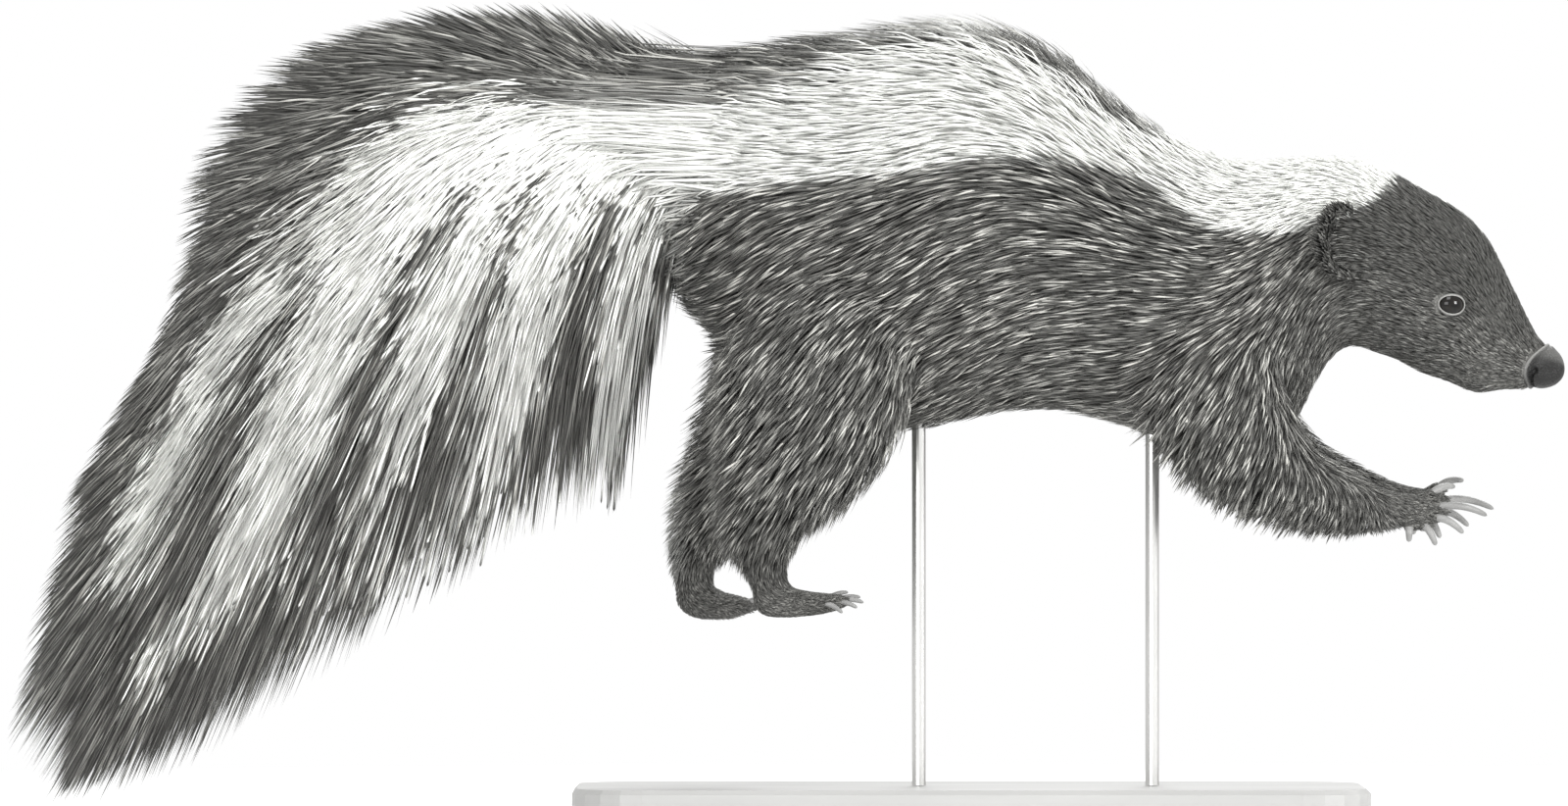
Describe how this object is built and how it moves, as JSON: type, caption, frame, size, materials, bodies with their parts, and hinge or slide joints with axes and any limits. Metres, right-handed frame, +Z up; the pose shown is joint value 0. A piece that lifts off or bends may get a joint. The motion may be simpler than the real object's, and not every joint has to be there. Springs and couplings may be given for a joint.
{
  "type": "striped skunk display model",
  "caption": "Life-size still model of a striped skunk in mid bound, with a long plumed tail, held over a flat base by two rods.",
  "frame": {"origin": "middle of the underside of the stand's base, on the floor", "axes": "+X towards the nose, +Y towards the animal's left side, +Z up"},
  "size_m": [0.6633, 0.15, 0.3433],
  "materials": {
    "dark_coat": "coarse dark fur with a faint sheen",
    "striped_coat": "coarse fur, dark with broad white stripes",
    "nose_skin": "moist pebbled skin",
    "eye": "polished black",
    "claw_horn": "smooth pale horn",
    "stand_board": "satin pale paint",
    "stand_steel": "satin"
  },
  "bodies": {
    "root": {"head": "dark_coat", "nose": "nose_skin", "ear_left": "dark_coat", "ear_right": "dark_coat", "eye_left": "eye", "eye_right": "eye", "neck": "striped_coat", "torso": "striped_coat", "tail_base": "striped_coat", "tail_middle": "striped_coat", "tail_tip": "striped_coat", "foreleg_left": "dark_coat", "foreleg_right": "dark_coat", "forepaw_left": "dark_coat", "forepaw_right": "dark_coat", "hindleg_left": "dark_coat", "hindleg_right": "dark_coat", "hindfoot_left": "dark_coat", "hindfoot_right": "dark_coat", "forepaw_left_claw_1": "claw_horn", "forepaw_left_claw_2": "claw_horn", "forepaw_left_claw_3": "claw_horn", "forepaw_left_claw_4": "claw_horn", "forepaw_left_claw_5": "claw_horn", "forepaw_right_claw_1": "claw_horn", "forepaw_right_claw_2": "claw_horn", "forepaw_right_claw_3": "claw_horn", "forepaw_right_claw_4": "claw_horn", "forepaw_right_claw_5": "claw_horn", "hindfoot_left_claw_1": "claw_horn", "hindfoot_left_claw_2": "claw_horn", "hindfoot_left_claw_3": "claw_horn", "hindfoot_left_claw_4": "claw_horn", "hindfoot_left_claw_5": "claw_horn", "hindfoot_right_claw_1": "claw_horn", "hindfoot_right_claw_2": "claw_horn", "hindfoot_right_claw_3": "claw_horn", "hindfoot_right_claw_4": "claw_horn", "hindfoot_right_claw_5": "claw_horn", "stand_base": "stand_board", "stand_rod_front": "stand_steel", "stand_rod_back": "stand_steel"}
  },
  "joints": []
}
